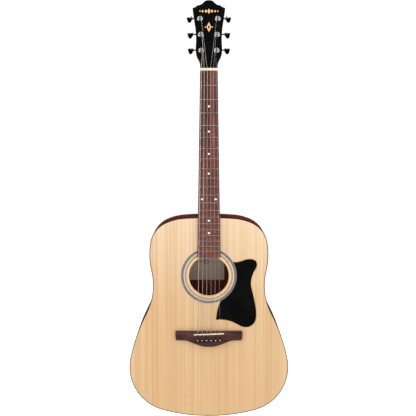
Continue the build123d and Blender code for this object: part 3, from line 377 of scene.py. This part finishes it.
def printed_label():
    """Plain paper with a few printed rules and a diamond: a generic label with nothing to read."""
    low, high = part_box("label")
    s = Shader("label_card")
    x, _, z = s.axes(s.place())
    across = s.span(x, low.x, high.x)
    upward = s.span(z, low.z, high.z)
    fibre = s.noise(s.place((500, 500, 500)), detail=4, rough=0.7)

    def band(value, start, end):
        return s.math("MULTIPLY", s.math("GREATER_THAN", value, start), s.math("LESS_THAN", value, end))

    def both(first, second):
        return s.math("MULTIPLY", first, second)

    def either(first, second):
        return s.math("MAXIMUM", first, second)

    rows = band(s.math("FRACT", s.math("MULTIPLY", upward, 10.0)), 0.42, 0.54)
    rules = both(both(rows, band(across, 0.14, 0.86)), band(upward, 0.1, 0.40))
    diamond = s.math("ADD", s.math("ABSOLUTE", s.math("SUBTRACT", across, 0.5)),
                     s.math("MULTIPLY", s.math("ABSOLUTE", s.math("SUBTRACT", upward, 0.75)), 0.68))
    crest = band(diamond, 0.045, 0.085)
    wing_span = s.math("SUBTRACT", band(across, 0.2, 0.8), band(across, 0.38, 0.62))
    wings = both(band(upward, 0.735, 0.765), wing_span)
    ink = either(both(rules, 0.35), either(crest, wings))
    paper = s.mix(s.span(fibre, 0.35, 0.7), srgb(238, 214, 192), srgb(222, 196, 172))
    tone = s.mix(s.math("MULTIPLY", ink, 0.75), paper, srgb(74, 62, 52))
    s.base(Base_Color=tone, Roughness=0.8)
    s.bump(fibre, 0.00003, 0.3)
    return s.material


RED_BROWN = dict(dark=(88, 34, 20), mid=(138, 58, 34), light=(168, 80, 48))
materials = {
    "spruce": spruce(),
    "mahogany_back": mahogany("mahogany_back", (38, 20, 2.0), (1100, 600, 60), gloss=0.26, coat=0.6,
                              **RED_BROWN),
    "mahogany_side": mahogany("mahogany_side", (2.4, 46, 2.4), (50, 1100, 50), gloss=0.26, coat=0.6,
                              **RED_BROWN),
    "neck_mahogany": mahogany("neck_mahogany", (60, 60, 3.0), (900, 900, 60), dark=(112, 52, 32),
                              mid=(150, 74, 46), light=(176, 94, 58), gloss=0.34, coat=0.3),
    "inner_wood": inner_wood(),
    "black_binding": black_gloss("black_binding", 0.16, 0.1),
    "black_gloss": black_gloss("black_gloss", 0.05, 0.06),
    "pickguard_sheet": black_gloss("pickguard_sheet", 0.08, 0.12),
    "black_plastic": black_gloss("black_plastic", 0.22, 0.1),
    "pin_plastic": black_gloss("pin_plastic", 0.18, 0.1),
    "rosette_inlay": shell_rings(),
    "bridge_wood": bridge_wood(),
    "fretboard_wood": fretboard_wood(),
    "bone": bone(),
    "pearl": pearl("pearl", (250, 250, 246), (214, 218, 220)),
    "gold_pearl": pearl("gold_pearl", (240, 196, 138), (196, 138, 84)),
    "fret_metal": metal("fret_metal", (224, 224, 222), 0.30, 0.08, (900, 900, 60)),
    "steel": metal("steel", (150, 150, 150), 0.3, 0.1),
    "chrome": metal("chrome", (222, 223, 226), 0.05, 0.04),
    "satin_metal": metal("satin_metal", (226, 227, 229), 0.34, 0.08),
    "plain_steel": metal("plain_steel", (226, 227, 228), 0.32, 0.08, (900, 900, 20)),
    "phosphor_bronze": wound_wire(),
    "brass": metal("brass", (210, 172, 96), 0.26, 0.08),
    "label_card": printed_label(),
}
SLOT_LOOKS = {"mahogany": "mahogany_back"}
NODE_LOOKS = {"side_bass": "mahogany_side", "side_treble": "mahogany_side",
              "tuner_bushings": "satin_metal", "tuner_housings": "satin_metal"}

for entry in frame["record"]["subparts"]:
    node = nodes[entry["node"]]
    slot_name = entry["material_slot"]
    look = NODE_LOOKS.get(entry["node"], SLOT_LOOKS.get(slot_name, slot_name))
    node.data.materials.clear()
    node.data.materials.append(materials[look])


# ---------------------------------------------------------------- pieces added in Blender
def finish_piece(piece, body, slot_name, look=None):
    """Give a new piece its material, chosen by look or else by slot name, and its body."""
    piece.data.materials.append(materials[look or slot_name])
    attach(piece, body)
    return piece


def mesh_piece(name, bm):
    mesh = bpy.data.meshes.new(name)
    bm.to_mesh(mesh)
    bm.free()
    for polygon in mesh.polygons:
        polygon.use_smooth = True
    piece = bpy.data.objects.new(name, mesh)
    bpy.context.scene.collection.objects.link(piece)
    return piece


def lens(name, centre, normal, radius, rise, rings=5, segments=28):
    """A shallow domed disc, such as an inlaid dot."""
    bm = bmesh.new()
    turn = Vector(normal).to_track_quat("Z", "Y").to_matrix().to_4x4()
    place = Matrix.Translation(centre) @ turn
    top = bm.verts.new(place @ Vector((0, 0, rise)))
    previous = None
    for ring in range(1, rings + 1):
        share = ring / rings
        height = rise * math.sqrt(max(0.0, 1 - share ** 2))
        reach = radius * share
        angles = (2 * math.pi * k / segments for k in range(segments))
        circle = [bm.verts.new(place @ Vector((reach * math.cos(a), reach * math.sin(a), height)))
                  for a in angles]
        for k in range(segments):
            follower = (k + 1) % segments
            if previous is None:
                bm.faces.new((top, circle[k], circle[follower]))
            else:
                bm.faces.new((previous[k], circle[k], circle[follower], previous[follower]))
        previous = circle
    bm.faces.new(list(reversed(previous)))
    return mesh_piece(name, bm)


def wire(name, points, radius):
    """A round wire through the points."""
    curve = bpy.data.curves.new(name, "CURVE")
    curve.dimensions = "3D"
    curve.bevel_depth = radius
    curve.bevel_resolution = 4
    curve.use_fill_caps = True
    spline = curve.splines.new("POLY")
    spline.points.add(len(points) - 1)
    for spot, point in zip(spline.points, points):
        spot.co = (*point, 1)
    spline.use_smooth = True
    piece = bpy.data.objects.new(name, curve)
    bpy.context.scene.collection.objects.link(piece)
    return piece


# pale dots let into the heads of the bridge pins
PIN_DOT_RADIUS = 1.1 * MM
for number in range(1, STRING_COUNT + 1):
    low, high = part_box(f"bridge_pin_{number}")
    centre = Vector(((low.x + high.x) / 2, low.y + 0.2 * MM, (low.z + high.z) / 2))
    dot = lens(f"pin_dot_{number}", centre, (0, -1, 0), PIN_DOT_RADIUS, 0.35 * MM)
    finish_piece(dot, f"bridge_pin_{number}", "pearl")

# string windings on the posts, each a real helix round its post
WAIST_R = 2.2 * MM
WRAP_CLEARANCE = 0.02 * MM
STEPS_PER_TURN = 28
for number in range(1, STRING_COUNT + 1):
    joint = joints[f"string_post_{number}_turn"]
    axis = Vector(joint["axis"]).normalized()
    base = Vector(joint["pos_m"])
    gauge = STRING_GAUGES[number - 1] * MM
    low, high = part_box(f"string_wraps_{number}")
    middle = (low + high) / 2
    height = (middle - base).dot(axis)
    inward = Vector((1, 0, 0)) if base.x < 0 else Vector((-1, 0, 0))
    side = axis.cross(inward)
    turns = WRAP_TURNS[number - 1]
    radius = WAIST_R + gauge / 2 + WRAP_CLEARANCE
    start = height - (turns - 1) * gauge / 2 - gauge * 0.15
    steps = turns * STEPS_PER_TURN
    spin = 1 if base.x < 0 else -1
    points = []
    for step in range(steps + 1):
        angle = spin * 2 * math.pi * turns * step / steps
        rise = start + gauge * 1.02 * (turns - 1) * step / steps
        points.append(base + axis * rise + radius * (inward * math.cos(angle) + side * math.sin(angle)))
    coil = wire(f"winding_{number}", points, gauge / 2)
    wound = number <= WOUND_STRINGS
    finish_piece(coil, f"string_post_{number}", "phosphor_bronze" if wound else "plain_steel")
    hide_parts(f"string_wraps_{number}")

# ---------------------------------------------------------------- studio

def area_light(name, place, aim, size, power, reflections_only=False):
    data = bpy.data.lights.new(name, "AREA")
    data.shape = "RECTANGLE"
    data.size, data.size_y = size
    data.energy = power
    light = bpy.data.objects.new(name, data)
    light.visible_diffuse = not reflections_only
    light.location = place
    light.rotation_euler = (Vector(aim) - Vector(place)).to_track_quat("-Z", "Y").to_euler()
    bpy.context.scene.collection.objects.link(light)


area_light("key_left", (-2.7, -2.2, 1.0), (0, 0, 0.7), (1.4, 2.4), 26)
area_light("key_right", (2.7, -2.2, 1.0), (0, 0, 0.7), (1.4, 2.4), 22)
area_light("overhead", (0, -0.6, 2.9), (0, -0.6, 0), (3.4, 2.8), 45)
area_light("back_left", (-2.5, 2.4, 1.2), (0, 0, 0.6), (1.4, 2.4), 26)
area_light("back_right", (2.5, 2.4, 1.2), (0, 0, 0.6), (1.4, 2.4), 22)
# large dim panels either side, seen only in reflections, for the strings, frets and tuners
area_light("sheen_left", (-2.6, -0.6, 0.8), (0, -0.6, 0.8), (4.2, 3.2), 62, reflections_only=True)
area_light("sheen_right", (2.6, -0.6, 0.8), (0, -0.6, 0.8), (4.2, 3.2), 62, reflections_only=True)

world = bpy.data.worlds.new("studio")
world.use_nodes = True
world.node_tree.nodes["Background"].inputs["Color"].default_value = (1, 1, 1, 1)
world.node_tree.nodes["Background"].inputs["Strength"].default_value = 1.1
world.cycles_visibility.glossy = False
bpy.context.scene.world = world

# floor, a wide plain disc; the guitar hangs above it from its headstock
HANGING_HEIGHT = 0.36
bm = bmesh.new()
bmesh.ops.create_circle(bm, cap_ends=True, radius=14.0, segments=96)
floor = mesh_piece("studio_floor", bm)
floor.location = (0, 0, cad_low.z - HANGING_HEIGHT)
paint = Shader("floor_paint")
speck = paint.noise(paint.place((3, 3, 3)), detail=3)
paint.base(Base_Color=paint.mix(speck, (0.97, 0.97, 0.97, 1), (0.99, 0.99, 0.99, 1)), Roughness=0.9)
floor.data.materials.append(paint.material)
floor.visible_glossy = False

# ---------------------------------------------------------------- camera
CAMERA_BELOW_NUT = 0.1365
CAMERA_DISTANCE = 2.2495
CAMERA_SIDE = -0.0022
CAMERA_PITCH = math.radians(5.105)
camera_data = bpy.data.cameras.new("camera")
camera_data.lens = 78.8
camera_data.sensor_width = 36.0
camera = bpy.data.objects.new("camera", camera_data)
camera.location = (CAMERA_SIDE, face_y - CAMERA_DISTANCE, nut_z - CAMERA_BELOW_NUT)
camera.rotation_euler = (math.pi / 2 - CAMERA_PITCH, 0, 0)
bpy.context.scene.collection.objects.link(camera)
bpy.context.scene.camera = camera
bpy.context.scene.view_settings.view_transform = "Standard"
